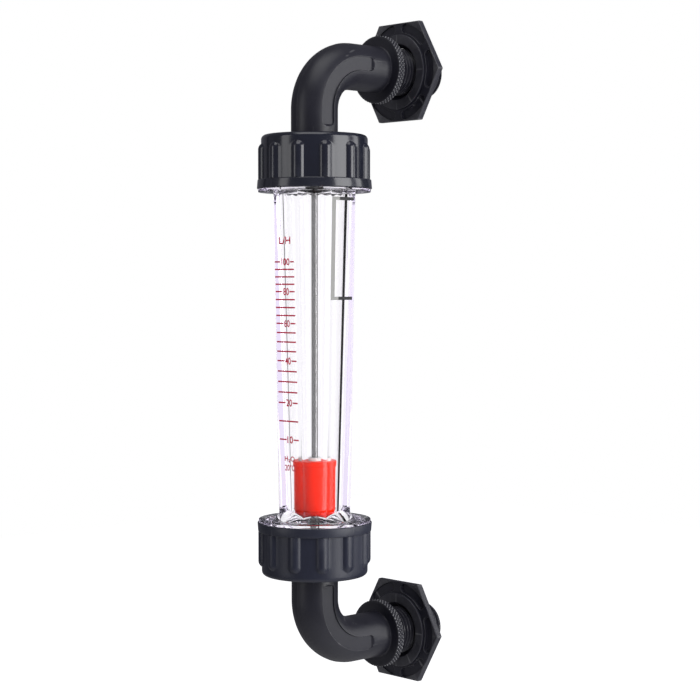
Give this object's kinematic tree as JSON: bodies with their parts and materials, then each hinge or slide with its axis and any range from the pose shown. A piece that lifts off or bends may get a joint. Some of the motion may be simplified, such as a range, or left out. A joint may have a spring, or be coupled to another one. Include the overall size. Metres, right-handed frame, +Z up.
{
  "type": "rotameter",
  "caption": "Panel-mounted tube rotameter: a float on a guide rod in a clear tapered tube, between elbows with union nuts, threaded spigots and panel nuts.",
  "frame": {"origin": "midway between the two spigots' axes, in the plane of the panel that the collars' rear faces bear on", "axes": "+Z up along the metering tube, +Y along the spigots into the panel, -Y towards the reader of the scale, +X to the reader's right"},
  "size_m": [0.0498, 0.0925, 0.2922],
  "materials": {
    "clear_tube": "clear moulded acrylic, polished",
    "rod_steel": "drawn stainless steel",
    "float_red": "turned orange-red plastic",
    "bush_white": "white low-friction plastic",
    "black_rubber": "black rubber",
    "holder_black": "black moulded plastic",
    "nut_dark": "glossy moulded dark grey plastic",
    "elbow_dark": "satin moulded dark grey plastic",
    "panel_nut_dark": "satin moulded dark grey plastic"
  },
  "bodies": {
    "meter": {"metering_tube": "clear_tube", "guide_rod": "rod_steel", "float_stop_clip": "rod_steel", "float_bumper": "black_rubber", "upper_rod_holder": "holder_black", "lower_rod_holder": "holder_black", "upper_tube_seal": "black_rubber", "lower_tube_seal": "black_rubber", "upper_elbow": "elbow_dark", "lower_elbow": "elbow_dark"},
    "float": {"float_body": "float_red", "float_guide_bush": "bush_white"},
    "upper_union": {"upper_union_nut": "nut_dark"},
    "lower_union": {"lower_union_nut": "nut_dark"},
    "upper_clamp": {"upper_panel_nut": "panel_nut_dark"},
    "lower_clamp": {"lower_panel_nut": "panel_nut_dark"}
  },
  "joints": [
    {"name": "float_slide", "type": "slide", "parent": "meter", "child": "float", "axis": [0, 0, 1], "range_m": [0, 0.1128]},
    {"name": "upper_union_slide", "type": "slide", "parent": "meter", "child": "upper_union", "axis": [0, 0, 1], "range_m": [0, 0.0104]},
    {"name": "lower_union_slide", "type": "slide", "parent": "meter", "child": "lower_union", "axis": [0, 0, -1], "range_m": [0, 0.0104]},
    {"name": "upper_panel_nut_slide", "type": "slide", "parent": "meter", "child": "upper_clamp", "axis": [0, 1, 0], "range_m": [-0.00907, 0.0127]},
    {"name": "lower_panel_nut_slide", "type": "slide", "parent": "meter", "child": "lower_clamp", "axis": [0, 1, 0], "range_m": [-0.00907, 0.0127]}
  ]
}
